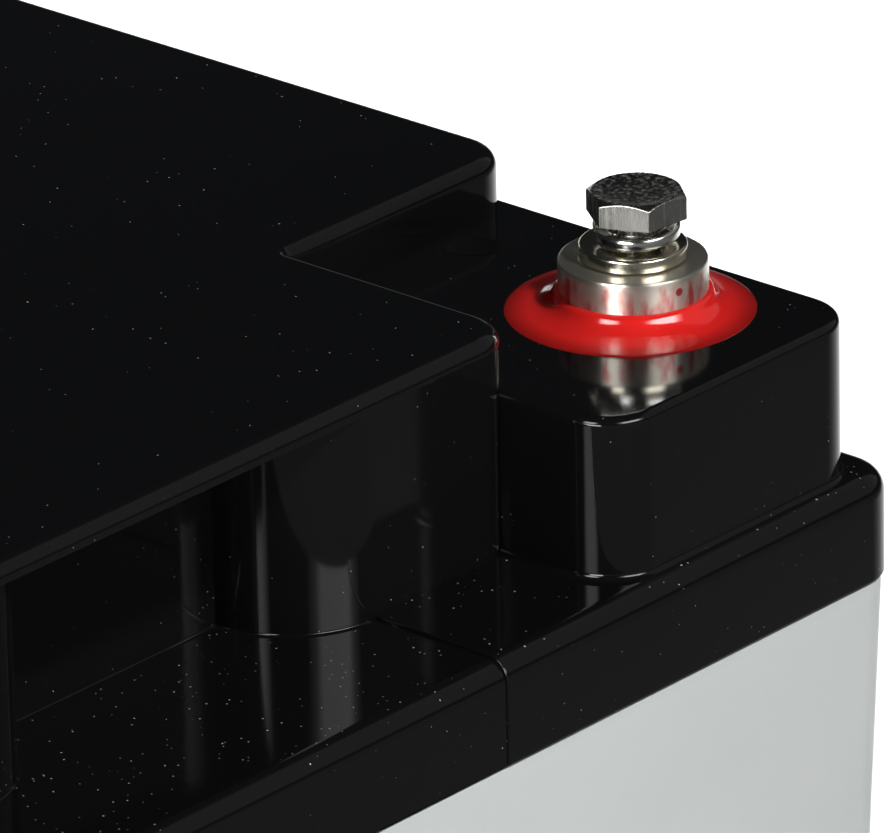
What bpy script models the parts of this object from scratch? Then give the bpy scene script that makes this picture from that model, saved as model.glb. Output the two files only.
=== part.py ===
"""Sealed 12 V lead-acid battery block with two bolted terminals, in metres, +Z up.

The origin is at the middle of the container's base. The long side runs along X. The positive terminal stands
in the corner at +X, -Y and the negative one mirrors it at -X, -Y. Six cells stand in a row along X.
"""
import math

import bmesh
import bpy
from mathutils import Matrix, Vector

# Overall block
block_length = 0.1960
block_width = 0.1650
deck_height = 0.1700

# Clearances
seat_gap = 0.0003
stack_gap = 0.0002

# Lid: heights below the deck
deck_above_tower = 0.0069
tower_above_ledge = 0.0190
band_height = 0.0124
lid_wall = 0.0026
skirt_lip = 0.0016

# Lid: plan
band_corner_radius = 0.0060
band_top_fillet = 0.0026
side_ledge = 0.0040
front_ledge = 0.0187
back_ledge = 0.0040
deck_corner_radius = 0.0060
deck_edge_fillet = 0.0020
tower_width = 0.0423
tower_front_inset = 0.0027
tower_corner_radius = 0.0065
tower_edge_fillet = 0.0010
notch_width = 0.0388
notch_depth = 0.0340
notch_root_radius = 0.0010

# Lid: finger grips in the two long sides
grip_mouth = 0.0610
grip_depth = 0.0122
grip_roof = 0.0022
grip_floor_drop = 0.0004
grip_band_drop = 0.00025

# Lid: mark in each notch floor
dimple_diameter = 0.0060
dimple_depth = 0.0004
dimple_outboard = 0.0023
dimple_from_wall = 0.0045

# Lid: valve trough and its cover strip
vent_row_share = 0.918
vent_row_from_back = 0.0295
trough_end = 0.0070
trough_width = 0.0150
trough_depth = 0.0135
trough_wall = 0.0024
trough_corner_radius = 0.0020
strip_end = 0.0020
strip_width = 0.0240
strip_thickness = 0.0019
strip_edge_fillet = 0.0004
strip_corner_radius = 0.0030
neck_diameter = 0.0090
neck_bore = 0.0044
neck_height = 0.0090
valve_cap_wall = 0.0016

# Container
container_wall = 0.0030
container_floor = 0.0030
container_inset = 0.0004
container_draft = math.radians(1.8)
container_corner_radius = 0.0055
container_base_fillet = 0.0020
tongue_height = 0.0076
partition_wall = 0.0020
cell_count = 6
cell_corner_radius = 0.0015

# Terminals
terminal_from_side = 0.0193
terminal_from_front = 0.0229
post_diameter = 0.0167
post_above_tower = 0.0062
post_flange_diameter = 0.0220
post_flange_height = 0.0030
post_leg_diameter = 0.0120
post_groove_depth = 0.0008
post_chamfer = 0.0004
compound_diameter = 0.0279
compound_dish_depth = 0.0012
compound_crown_profile = ((0.10, 0.0006), (0.28, 0.0012), (0.50, 0.0015), (0.75, 0.0016), (0.90, 0.0018))
compound_meniscus = 0.0024
resin_wall = 0.00315
well_depth = 0.0090
well_floor = 0.0030
well_wall = 0.0024
sealing_ring_section = 0.0020
sealing_ring_diameter = 0.0195

# Terminal hardware, M6
thread_diameter = 0.0058
tapped_hole_diameter = 0.0064
tapped_hole_depth = 0.0180
shank_length = 0.0160
hex_across_flats = 0.0100
hex_head_height = 0.0031
hex_rim_diameter = 0.0098
hex_chamfer = math.radians(30)
hex_dish_diameter = 0.0078
hex_dish_depth = 0.0003
shank_chamfer = 0.0009
hex_turn = math.radians(54.5)
flat_washer_diameter = 0.0121
flat_washer_bore = 0.0064
flat_washer_thickness = 0.0016
flat_washer_edge = 0.0003
spring_washer_diameter = 0.0097
spring_washer_bore = 0.0063
spring_washer_section = 0.0016
spring_washer_edge = 0.0002
spring_washer_free_height = 0.0027
spring_washer_split = math.radians(147)
spring_washer_slot = math.radians(9)

# Cells
positive_plates = 3
negative_plate_share = 0.73
separator_thickness = 0.00115
separator_gap = 0.00024
mat_bend_flattening = 0.5
mat_bend_steps = 4
plate_side_gap = 0.0020
plate_foot_gap = 0.0010
stack_side_gap = 0.00045
tab_top_gap = 0.0015
separator_above_plate = 0.0025
lug_width = 0.0140
lug_thickness = 0.0016
lug_height = 0.0070
strap_height = 0.0055
tab_thickness = 0.0030
tab_height = 0.0090
tab_partition_gap = 0.0005
weld_diameter = 0.0090

# Heights and half sizes worked out from the values above
well_diameter = post_diameter + 2 * resin_wall
half_length = block_length / 2
half_width = block_width / 2
tower_z = deck_height - deck_above_tower
ledge_z = tower_z - tower_above_ledge
band_z = ledge_z - band_height
shoulder_z = band_z - seat_gap
tongue_z = shoulder_z + tongue_height
rib_z = tongue_z + seat_gap
deck_half_x = half_length - side_ledge
deck_front_y = -half_width + front_ledge
deck_back_y = half_width - back_ledge
tower_left_x = deck_half_x - tower_width
tower_front_y = -half_width + tower_front_inset
notch_left_x = deck_half_x - notch_width
notch_back_y = deck_front_y + notch_depth
terminal_x = half_length - terminal_from_side
terminal_y = -half_width + terminal_from_front
well_z = tower_z - well_depth
trough_z = deck_height - trough_depth
strip_z = deck_height - strip_thickness
plate_z = container_floor + plate_foot_gap
strap_top_z = tongue_z - tab_top_gap - tab_height
strap_z = strap_top_z - strap_height
plate_top_z = strap_z - lug_height
outer_base_half_x = half_length - container_inset - shoulder_z * math.tan(container_draft)
outer_base_half_y = half_width - container_inset - shoulder_z * math.tan(container_draft)
cell_pitch = (2 * (outer_base_half_x - container_wall) + partition_wall) / cell_count
partition_centres = [cell_pitch * (i - cell_count / 2) for i in range(1, cell_count)]
plate_width = 2 * (outer_base_half_y - container_wall - plate_side_gap)
stack_room = cell_pitch - partition_wall - 2 * stack_side_gap
plate_room = stack_room - 2 * positive_plates * (separator_thickness + 2 * separator_gap)
positive_plate_thickness = plate_room / (positive_plates + (positive_plates + 1) * negative_plate_share)
negative_plate_thickness = positive_plate_thickness * negative_plate_share
vent_pitch = cell_pitch * vent_row_share
vent_centres = [vent_pitch * (i - (cell_count - 1) / 2) for i in range(cell_count)]
vent_row_y = deck_back_y - vent_row_from_back
trough_length = vent_pitch * (cell_count - 1) + 2 * trough_end
strip_length = trough_length + 2 * strip_end

# Facets of round forms, and how far a cutting tool runs past the face it cuts
round_steps = 36
post_steps = 28
hidden_steps = 16
corner_steps = 5
hidden_corner_steps = 2
fillet_facets = 3
grip_steps = 8
overrun = 0.010


def clear_scene():
    """Remove whatever the open file holds."""
    for old in list(bpy.data.objects):
        bpy.data.objects.remove(old, do_unlink=True)


def make_material(name, colour, roughness, metallic=0.0):
    """Plain Principled finish; colour is linear red, green and blue."""
    material = bpy.data.materials.new(name)
    material.use_nodes = True
    shader = material.node_tree.nodes["Principled BSDF"]
    shader.inputs["Base Color"].default_value = (*colour, 1.0)
    shader.inputs["Roughness"].default_value = roughness
    shader.inputs["Metallic"].default_value = metallic
    return material


def object_from_bmesh(name, mesh_data):
    """Merge points on the same spot, orient and link a bmesh as a new object."""
    bmesh.ops.remove_doubles(mesh_data, verts=mesh_data.verts, dist=1e-7)
    bmesh.ops.dissolve_degenerate(mesh_data, edges=mesh_data.edges, dist=1e-7)
    bmesh.ops.recalc_face_normals(mesh_data, faces=mesh_data.faces)
    mesh = bpy.data.meshes.new(name)
    mesh_data.to_mesh(mesh)
    mesh_data.free()
    item = bpy.data.objects.new(name, mesh)
    bpy.context.scene.collection.objects.link(item)
    return item


def finish(item, material, angle=math.radians(35)):
    """Give a piece its material, with round walls shaded smooth."""
    item.data.materials.clear()
    item.data.materials.append(material)
    item.data.shade_smooth()
    item.data.set_sharp_from_angle(angle=angle)


def combine(target, tool, operation):
    """Apply one exact Boolean to the target and remove the tool."""
    tool.hide_render = True
    tool.display_type = "WIRE"
    modifier = target.modifiers.new(operation.lower(), "BOOLEAN")
    modifier.operation = operation
    modifier.solver = "EXACT"
    modifier.object = tool
    bpy.context.view_layer.update()
    graph = bpy.context.evaluated_depsgraph_get()
    result = bpy.data.meshes.new_from_object(target.evaluated_get(graph))
    target.modifiers.clear()
    old = target.data
    target.data = result
    bpy.data.meshes.remove(old)
    bpy.data.objects.remove(tool, do_unlink=True)
    return target


def offset_corners(corners, inset):
    """Move every side of a counter-clockwise outline inwards; radii follow the corner's turn."""
    moved = []
    count = len(corners)
    for i in range(count):
        before = Vector(corners[i - 1][:2])
        here = Vector(corners[i][:2])
        after = Vector(corners[(i + 1) % count][:2])
        side_in = (here - before).normalized()
        side_out = (after - here).normalized()
        turn = side_in.x * side_out.y - side_in.y * side_out.x
        normal_in = Vector((-side_in.y, side_in.x))
        normal_out = Vector((-side_out.y, side_out.x))
        spot = here + (normal_in + normal_out) * inset / (1 + normal_in.dot(normal_out))
        radius = corners[i][2] - math.copysign(inset, turn)
        moved.append((spot.x, spot.y, max(radius, 0.0001)))
    return moved


def rounded_outline(corners, steps=corner_steps):
    """Points round an outline whose corners are (x, y, radius)."""
    points = []
    count = len(corners)
    for i in range(count):
        here = Vector(corners[i][:2])
        back = (Vector(corners[i - 1][:2]) - here).normalized()
        ahead = (Vector(corners[(i + 1) % count][:2]) - here).normalized()
        half_angle = back.angle(ahead) / 2
        radius = corners[i][2]
        reach = radius / math.tan(half_angle)
        centre = here + (back + ahead).normalized() * radius / math.sin(half_angle)
        start = here + back * reach - centre
        end = here + ahead * reach - centre
        sweep = math.pi - 2 * half_angle
        if start.x * end.y - start.y * end.x < 0:
            sweep = -sweep
        for k in range(steps + 1):
            turned = Matrix.Rotation(sweep * k / steps, 2) @ start
            points.append((centre.x + turned.x, centre.y + turned.y))
    return points


def rectangle(x0, x1, y0, y1, radius):
    """Corners of a rectangle, counter-clockwise."""
    return [(x0, y0, radius), (x1, y0, radius), (x1, y1, radius), (x0, y1, radius)]


def loft(name, levels):
    """Closed solid through a stack of (outline, z) levels with equal point counts."""
    build = bmesh.new()
    rings = [[build.verts.new((x, y, z)) for x, y in outline] for outline, z in levels]
    for lower, upper in zip(rings, rings[1:]):
        for i in range(len(lower)):
            j = (i + 1) % len(lower)
            build.faces.new((lower[i], lower[j], upper[j], upper[i]))
    build.faces.new(rings[0])
    build.faces.new(rings[-1])
    return object_from_bmesh(name, build)


def prism(name, corners, z0, z1, steps=corner_steps):
    """Straight solid between two heights."""
    outline = rounded_outline(corners, steps)
    return loft(name, [(outline, z0), (outline, z1)])


def filleted_prism(name, corners, z0, z1, fillet, fillet_steps=fillet_facets):
    """Straight solid with a rounded top edge."""
    levels = [(rounded_outline(corners), z0)]
    for k in range(fillet_steps + 1):
        angle = math.pi / 2 * k / fillet_steps
        inset = fillet * (1 - math.cos(angle))
        z = z1 - fillet * (1 - math.sin(angle))
        levels.append((rounded_outline(offset_corners(corners, inset)), z))
    return loft(name, levels)


def turned(name, profile, x=0.0, y=0.0, steps=round_steps):
    """Revolve a closed (radius, z) profile about a vertical axis at (x, y); it may touch the axis."""
    build = bmesh.new()
    rings = []
    for k in range(steps):
        angle = 2 * math.pi * k / steps
        ring = []
        for radius, z in profile:
            ring.append(build.verts.new((x + radius * math.cos(angle), y + radius * math.sin(angle), z)))
        rings.append(ring)
    for k in range(steps):
        this = rings[k]
        following = rings[(k + 1) % steps]
        for i in range(len(profile)):
            j = (i + 1) % len(profile)
            build.faces.new((this[i], this[j], following[j], following[i]))
    return object_from_bmesh(name, build)


def circle(radius, x, y, steps):
    """Points round a circle."""
    angles = [2 * math.pi * k / steps for k in range(steps)]
    return [(x + radius * math.cos(angle), y + radius * math.sin(angle)) for angle in angles]


def cylinder(name, radius, x, y, z0, z1, steps=round_steps):
    """Upright solid round bar."""
    outline = circle(radius, x, y, steps)
    return loft(name, [(outline, z0), (outline, z1)])


def mirrored(corners, flip_x):
    """Mirror an outline in X and keep it counter-clockwise."""
    if not flip_x:
        return corners
    return [(-x, y, radius) for x, y, radius in reversed(corners)]


def deck_corners():
    """Outline of the raised deck with a notch at each front corner."""
    right = [
        (notch_left_x, deck_front_y, deck_corner_radius),
        (notch_left_x, notch_back_y, notch_root_radius),
        (deck_half_x, notch_back_y, deck_corner_radius),
        (deck_half_x, deck_back_y, deck_corner_radius),
    ]
    return right + mirrored(right, True)


def tower_corners(flip_x, reach=0.0):
    """Outline of a terminal tower, run on under the deck by reach."""
    corners = rectangle(tower_left_x, deck_half_x, tower_front_y, notch_back_y + reach, tower_corner_radius)
    return mirrored(corners, flip_x)


def grip_outline(wall, front_y, side):
    """Plan of a finger grip: a flat back between two quarter rounds; side is -1 in front and 1 behind."""
    arc_centre_x = grip_mouth / 2
    arc_radius = grip_depth - wall
    back_y = front_y - side * grip_depth
    points = []
    for k in range(grip_steps + 1):
        angle = math.pi / 2 * k / grip_steps
        x = arc_centre_x - arc_radius * math.cos(angle)
        points.append((x, back_y + side * arc_radius * math.sin(angle)))
    points.append((arc_centre_x, front_y + side * overrun))
    if wall > 0:
        points.insert(0, (points[0][0], back_y - side * wall))
    return points + [(-x, y) for x, y in reversed(points)]


def grip_floor_profile(side):
    """End view of the air over the sunken ledge and band in front of a grip."""
    face_y = side * (half_width - grip_band_drop)
    floor_z = ledge_z - grip_floor_drop
    points = [(side * (half_width + overrun), band_z - overrun), (face_y, band_z - overrun)]
    for k in range(fillet_facets + 1):
        angle = math.pi / 2 * k / fillet_facets
        y = face_y - side * band_top_fillet * (1 - math.cos(angle))
        points.append((y, floor_z - band_top_fillet * (1 - math.sin(angle))))
    deepest_y = side * (half_width - front_ledge - grip_depth)
    points.append((deepest_y, floor_z))
    points.append((deepest_y, ledge_z + overrun))
    points.append((side * (half_width + overrun), ledge_z + overrun))
    return points


def extrude_along_x(name, profile, x0, x1):
    """Closed solid from a (y, z) profile run along X."""
    build = bmesh.new()
    ends = [[build.verts.new((x, y, z)) for y, z in profile] for x in (x0, x1)]
    for i in range(len(profile)):
        j = (i + 1) % len(profile)
        build.faces.new((ends[0][i], ends[0][j], ends[1][j], ends[1][i]))
    build.faces.new(ends[0])
    build.faces.new(ends[1])
    return object_from_bmesh(name, build)


def make_lid_body():
    """Outside of the lid: band and ledge, deck with its grips, and the two towers."""
    plan = rectangle(-half_length, half_length, -half_width, half_width, band_corner_radius)
    body = filleted_prism("lid", plan, band_z, ledge_z, band_top_fillet)
    for side in (-1, 1):
        air = extrude_along_x("grip_floor", grip_floor_profile(side), -grip_mouth / 2, grip_mouth / 2)
        combine(body, air, "DIFFERENCE")
    root_z = ledge_z - lid_wall / 2
    deck = filleted_prism("deck", deck_corners(), root_z, deck_height, deck_edge_fillet)
    for side, front_y in ((-1, deck_front_y), (1, deck_back_y)):
        outline = grip_outline(0.0, front_y, side)
        grip = loft("grip", [(outline, root_z - overrun), (outline, deck_height - grip_roof)])
        combine(deck, grip, "DIFFERENCE")
    combine(body, deck, "UNION")
    for flip_x in (False, True):
        corners = tower_corners(flip_x, reach=deck_corner_radius * 2)
        tower = filleted_prism("tower", corners, root_z, tower_z, tower_edge_fillet)
        combine(body, tower, "UNION")
    return body


def make_lid_cavity():
    """Air inside the lid, less the ribs, wells, trough and grips that stand in it."""
    floor_z = band_z - overrun
    ceiling_z = deck_height - lid_wall
    plan = rectangle(-half_length, half_length, -half_width, half_width, band_corner_radius)
    air = prism("cavity", offset_corners(plan, skirt_lip), floor_z, ledge_z - lid_wall)
    root_z = ledge_z - 2 * lid_wall
    deck = prism("deck_air", offset_corners(deck_corners(), lid_wall), root_z, ceiling_z, hidden_corner_steps)
    combine(air, deck, "UNION")
    for flip_x in (False, True):
        corners = offset_corners(tower_corners(flip_x, reach=deck_corner_radius * 2), lid_wall)
        tower = prism("tower_air", corners, root_z, tower_z - lid_wall, hidden_corner_steps)
        combine(air, tower, "UNION")
    for side, front_y in ((-1, deck_front_y), (1, deck_back_y)):
        outline = grip_outline(lid_wall - seat_gap, front_y, side)
        guard = loft("grip_guard", [(outline, ledge_z - lid_wall - stack_gap), (outline, deck_height)])
        combine(air, guard, "DIFFERENCE")
    for x in (terminal_x, -terminal_x):
        guard_radius = well_diameter / 2 + well_wall
        guard_z = well_z - well_floor
        guard = cylinder("well_guard", guard_radius, x, terminal_y, guard_z, deck_height, post_steps)
        combine(air, guard, "DIFFERENCE")
    half_x = trough_length / 2 + trough_wall
    half_y = trough_width / 2 + trough_wall
    corners = rectangle(-half_x, half_x, vent_row_y - half_y, vent_row_y + half_y, strip_corner_radius)
    combine(air, prism("trough_guard", corners, trough_z - trough_wall, deck_height), "DIFFERENCE")
    for x in partition_centres:
        corners = rectangle(x - partition_wall / 2, x + partition_wall / 2, -half_width, half_width, 0.0001)
        combine(air, prism("rib", corners, rib_z, deck_height, steps=1), "DIFFERENCE")
    return air


def cut_terminal_holes(lid, x):
    """Dish, well and post hole for one terminal, and the mark behind it."""
    dish_radius = compound_diameter / 2 + seat_gap
    dish_z = tower_z - compound_dish_depth
    combine(lid, cylinder("dish", dish_radius, x, terminal_y, dish_z, deck_height), "DIFFERENCE")
    well = cylinder("well", well_diameter / 2, x, terminal_y, well_z, deck_height, post_steps)
    combine(lid, well, "DIFFERENCE")
    post_radius = post_diameter / 2 + seat_gap
    hole = cylinder("post_hole", post_radius, x, terminal_y, well_z - overrun, deck_height, post_steps)
    combine(lid, hole, "DIFFERENCE")
    ball_radius = (dimple_diameter ** 2 / 4 + dimple_depth ** 2) / (2 * dimple_depth)
    ball_z = tower_z - dimple_depth + ball_radius
    profile = [(dimple_diameter / 2, deck_height - deck_above_tower / 2)]
    for share in (1, 2 / 3, 1 / 3):
        radius = dimple_diameter / 2 * share
        profile.append((radius, ball_z - math.sqrt(ball_radius ** 2 - radius ** 2)))
    mark_x = x + math.copysign(dimple_outboard, x)
    mark_y = notch_back_y - dimple_from_wall
    levels = [(circle(radius, mark_x, mark_y, hidden_steps), z) for radius, z in profile]
    combine(lid, loft("dimple", levels), "DIFFERENCE")


def make_lid():
    """Lid as one moulding: outside, less the air inside, less every hole, plus the vent necks."""
    lid = make_lid_body()
    combine(lid, make_lid_cavity(), "DIFFERENCE")
    for x in (terminal_x, -terminal_x):
        cut_terminal_holes(lid, x)
    half_x = strip_length / 2 + seat_gap
    half_y = strip_width / 2 + seat_gap
    corners = rectangle(-half_x, half_x, vent_row_y - half_y, vent_row_y + half_y, strip_corner_radius)
    combine(lid, prism("strip_seat", corners, strip_z - seat_gap, deck_height + overrun), "DIFFERENCE")
    half_x = trough_length / 2
    half_y = trough_width / 2
    corners = rectangle(-half_x, half_x, vent_row_y - half_y, vent_row_y + half_y, trough_corner_radius)
    combine(lid, prism("trough", corners, trough_z, deck_height + overrun), "DIFFERENCE")
    for x in vent_centres:
        root_z = trough_z - trough_wall / 2
        neck_top_z = trough_z + neck_height
        neck = cylinder("neck", neck_diameter / 2, x, vent_row_y, root_z, neck_top_z, hidden_steps)
        combine(lid, neck, "UNION")
        bore_z = trough_z - overrun
        bore = cylinder("neck_bore", neck_bore / 2, x, vent_row_y, bore_z, deck_height, hidden_steps)
        combine(lid, bore, "DIFFERENCE")
    return lid


def make_container():
    """Open box with a drafted wall, a tongue for the lid and five partitions."""
    base = rectangle(-outer_base_half_x, outer_base_half_x, -outer_base_half_y, outer_base_half_y,
                     container_corner_radius)
    levels = []
    for k in range(fillet_facets + 1):
        angle = math.pi / 2 * k / fillet_facets
        inset = container_base_fillet * (1 - math.sin(angle))
        z = container_base_fillet * (1 - math.cos(angle))
        levels.append((rounded_outline(offset_corners(base, inset)), z))
    spread = shoulder_z * math.tan(container_draft)
    levels.append((rounded_outline(offset_corners(base, -spread)), shoulder_z))
    top = rectangle(-half_length, half_length, -half_width, half_width, band_corner_radius)
    tongue = rounded_outline(offset_corners(top, skirt_lip + seat_gap))
    levels.append((tongue, shoulder_z))
    levels.append((tongue, tongue_z))
    box = loft("container", levels)
    for i in range(cell_count):
        combine(box, make_cell_air(i), "DIFFERENCE")
    for i, x in enumerate(partition_centres):
        hole_radius = weld_diameter / 2 + seat_gap
        weld = make_weld("weld_hole", x, weld_side(i) * abs(terminal_y), hole_radius, overrun / 2)
        combine(box, weld, "DIFFERENCE")
    return box


def make_cell_air(index):
    """Air of one cell, wider towards the top where it meets the drafted walls."""
    levels = []
    for z in (container_floor, tongue_z + overrun):
        spread = z * math.tan(container_draft)
        reach_x = outer_base_half_x - container_wall + spread
        reach_y = outer_base_half_y - container_wall + spread
        x0 = -reach_x
        x1 = reach_x
        if index > 0:
            x0 = partition_centres[index - 1] + partition_wall / 2
        if index < cell_count - 1:
            x1 = partition_centres[index] - partition_wall / 2
        corners = rectangle(x0, x1, -reach_y, reach_y, cell_corner_radius)
        levels.append((rounded_outline(corners, hidden_corner_steps), z))
    return loft("cell_air", levels)


def weld_side(index):
    """Side of the partition's weld in Y; it alternates along the row and ends on the terminals' side."""
    return 1 if (cell_count - 2 - index) % 2 == 0 else -1


def make_weld(name, x, y, radius, half_run):
    """Short round bar along X through a partition."""
    build = bmesh.new()
    z = strap_top_z + tab_height / 2
    rings = []
    for at_x in (x - half_run, x + half_run):
        ring = []
        for at_y, at_z in circle(radius, y, z, hidden_steps):
            ring.append(build.verts.new((at_x, at_y, at_z)))
        rings.append(ring)
    for k in range(hidden_steps):
        j = (k + 1) % hidden_steps
        build.faces.new((rings[0][k], rings[0][j], rings[1][j], rings[1][k]))
    build.faces.new(rings[0])
    build.faces.new(rings[1])
    return object_from_bmesh(name, build)


def cell_middle(index):
    """Middle of one cell in X; the cells are equal at the container's floor."""
    return cell_pitch * (index - (cell_count - 1) / 2)


def plate_places():
    """Offsets in X of the negative and positive plates from the cell's middle, negatives outermost."""
    stack = []
    x = 0.0
    for k in range(2 * positive_plates + 1):
        thickness = positive_plate_thickness if k % 2 else negative_plate_thickness
        stack.append((k % 2 == 1, x, x + thickness))
        x += thickness + separator_thickness + 2 * separator_gap
    middle = stack[-1][2] / 2
    return [(positive, x0 - middle, x1 - middle) for positive, x0, x1 in stack]


def box(name, x0, x1, y0, y1, z0, z1):
    """Plain rectangular block."""
    outline = [(x0, y0), (x1, y0), (x1, y1), (x0, y1)]
    return loft(name, [(outline, z0), (outline, z1)])


def make_plate_group(name, index, positive, lug_side):
    """Plates of one sign, their lugs and the cast strap that joins them."""
    middle = cell_middle(index)
    plates = [(x0 + middle, x1 + middle) for is_positive, x0, x1 in plate_places() if is_positive == positive]
    lug_y = lug_side * abs(terminal_y)
    low_y = lug_y - lug_width / 2
    high_y = lug_y + lug_width / 2
    towards = 1 if positive else -1
    strap_x0 = plates[0][0]
    strap_x1 = plates[-1][1]
    joins_neighbour = 0 <= index + towards < cell_count
    tab_reach = cell_pitch / 2 - partition_wall / 2 - tab_partition_gap
    if joins_neighbour:
        strap_x0 = min(strap_x0, middle + towards * tab_reach)
        strap_x1 = max(strap_x1, middle + towards * tab_reach)
    group = box(name, strap_x0, strap_x1, low_y, high_y, strap_z, strap_top_z)
    if joins_neighbour:
        outer = middle + towards * tab_reach
        inner = outer - towards * tab_thickness
        tab = box("tab", min(inner, outer), max(inner, outer), low_y + stack_gap, high_y - stack_gap,
                  strap_z + strap_height / 2, strap_top_z + tab_height)
        combine(group, tab, "UNION")
    for x0, x1 in plates:
        centre = (x0 + x1) / 2
        lug = box("lug", centre - lug_thickness / 2, centre + lug_thickness / 2, low_y + stack_gap,
                  high_y - stack_gap, plate_top_z - lug_height / 2, strap_z + strap_height / 2)
        combine(group, lug, "UNION")
        plate = box("plate", x0, x1, -plate_width / 2, plate_width / 2, plate_z, plate_top_z)
        combine(group, plate, "UNION")
    return group


def make_separator(name, index):
    """Glass mat folded to and fro between the plates of one cell."""
    middle = cell_middle(index)
    places = plate_places()
    runs = [middle + (left[2] + right[1]) / 2 for left, right in zip(places, places[1:])]
    reach = plate_width / 2 + separator_gap
    half = separator_thickness / 2
    left_side = [(runs[0] - half, -plate_width / 2)]
    right_side = [(runs[0] + half, -plate_width / 2)]
    for i, (x, next_x) in enumerate(zip(runs, runs[1:])):
        towards = 1 if i % 2 == 0 else -1
        centre_x = (x + next_x) / 2
        bend = (next_x - x) / 2
        outer, inner = (left_side, right_side) if i % 2 == 0 else (right_side, left_side)
        for k in range(mat_bend_steps + 1):
            angle = math.pi * k / mat_bend_steps
            for side, radius in ((outer, bend + half), (inner, bend - half)):
                y = towards * (reach + math.sin(angle) * radius * mat_bend_flattening)
                side.append((centre_x - math.cos(angle) * radius, y))
    last_y = plate_width / 2 if len(runs) % 2 else -plate_width / 2
    left_side.append((runs[-1] - half, last_y))
    right_side.append((runs[-1] + half, last_y))
    outline = left_side + right_side[::-1]
    return loft(name, [(outline, plate_z), (outline, plate_top_z + separator_above_plate)])


def make_post(name, x):
    """Lead-alloy terminal: leg, flange, grooved body and blind tapped hole."""
    body = post_diameter / 2
    top = tower_z + post_above_tower
    flange_top = well_z - well_floor - seat_gap * 2 - sealing_ring_section
    flange_base = flange_top - post_flange_height
    leg_base = strap_top_z + seat_gap
    hole_base = top - tapped_hole_depth
    hole = tapped_hole_diameter / 2
    middle_of_well = (well_z + tower_z) / 2
    profile = [(0.0, leg_base), (post_leg_diameter / 2, leg_base), (post_leg_diameter / 2, flange_base)]
    flange = post_flange_diameter / 2
    profile += [(flange, flange_base), (flange, flange_top), (body, flange_top)]
    profile.append((body, middle_of_well - post_groove_depth))
    profile.append((body - post_groove_depth, middle_of_well))
    profile.append((body, middle_of_well + post_groove_depth))
    profile += [(body, top - post_chamfer), (body - post_chamfer, top), (hole + post_chamfer, top)]
    profile += [(hole, top - post_chamfer), (hole, hole_base), (0.0, hole_base - hole / 2)]
    return turned(name, profile, x, terminal_y, post_steps)


def make_compound(name, x):
    """Cast resin round the post: stepped below, low crown above, drawn up the post at its inner edge."""
    inner = post_diameter / 2 + seat_gap
    outer = compound_diameter / 2
    well = well_diameter / 2 - seat_gap
    profile = [(inner, well_z + seat_gap), (well, well_z + seat_gap)]
    step_z = tower_z - compound_dish_depth + seat_gap
    profile += [(well, step_z), (outer, step_z)]
    profile.append((outer, tower_z))
    for along, height in compound_crown_profile:
        profile.append((outer - (outer - inner) * along, tower_z + height))
    profile.append((inner, tower_z + compound_meniscus))
    return turned(name, profile, x, terminal_y)


def make_sealing_ring(name, x):
    """Rubber ring squeezed between the post's flange and the well's floor."""
    section = sealing_ring_section / 2
    centre_z = well_z - well_floor - seat_gap - section
    profile = circle(section, sealing_ring_diameter / 2, centre_z, hidden_steps // 2)
    return turned(name, profile, x, terminal_y, post_steps)


def make_flat_washer(name, x):
    """Stamped washer with its rounded upper edge."""
    base = tower_z + post_above_tower + stack_gap
    top = base + flat_washer_thickness
    outer = flat_washer_diameter / 2
    edge = flat_washer_edge
    profile = [(flat_washer_bore / 2, base), (outer, base), (outer, top - edge)]
    profile += [(outer - edge * 0.3, top - edge * 0.3), (outer - edge, top), (flat_washer_bore / 2, top)]
    return turned(name, profile, x, terminal_y, post_steps)


def make_spring_washer(name, x):
    """Split washer left slack, one turn of square bar that climbs from the flat washer to the head."""
    base = tower_z + post_above_tower + 2 * stack_gap + flat_washer_thickness
    climb = spring_washer_free_height - spring_washer_section
    sweep = 2 * math.pi - spring_washer_slot
    edge = spring_washer_edge
    inner = spring_washer_bore / 2
    outer = spring_washer_diameter / 2
    build = bmesh.new()
    rings = []
    for k in range(post_steps + 1):
        angle = spring_washer_split + spring_washer_slot / 2 + sweep * k / post_steps
        low = base + climb * k / post_steps
        high = low + spring_washer_section
        section = [(inner, low), (outer - edge, low), (outer, low + edge), (outer, high - edge)]
        section += [(outer - edge, high), (inner, high)]
        ring = []
        for radius, z in section:
            spot = (x + radius * math.cos(angle), terminal_y + radius * math.sin(angle), z)
            ring.append(build.verts.new(spot))
        rings.append(ring)
    for this, following in zip(rings, rings[1:]):
        for i in range(len(this)):
            j = (i + 1) % len(this)
            build.faces.new((this[i], this[j], following[j], following[i]))
    build.faces.new(rings[0])
    build.faces.new(rings[-1])
    return object_from_bmesh(name, build)


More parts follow.
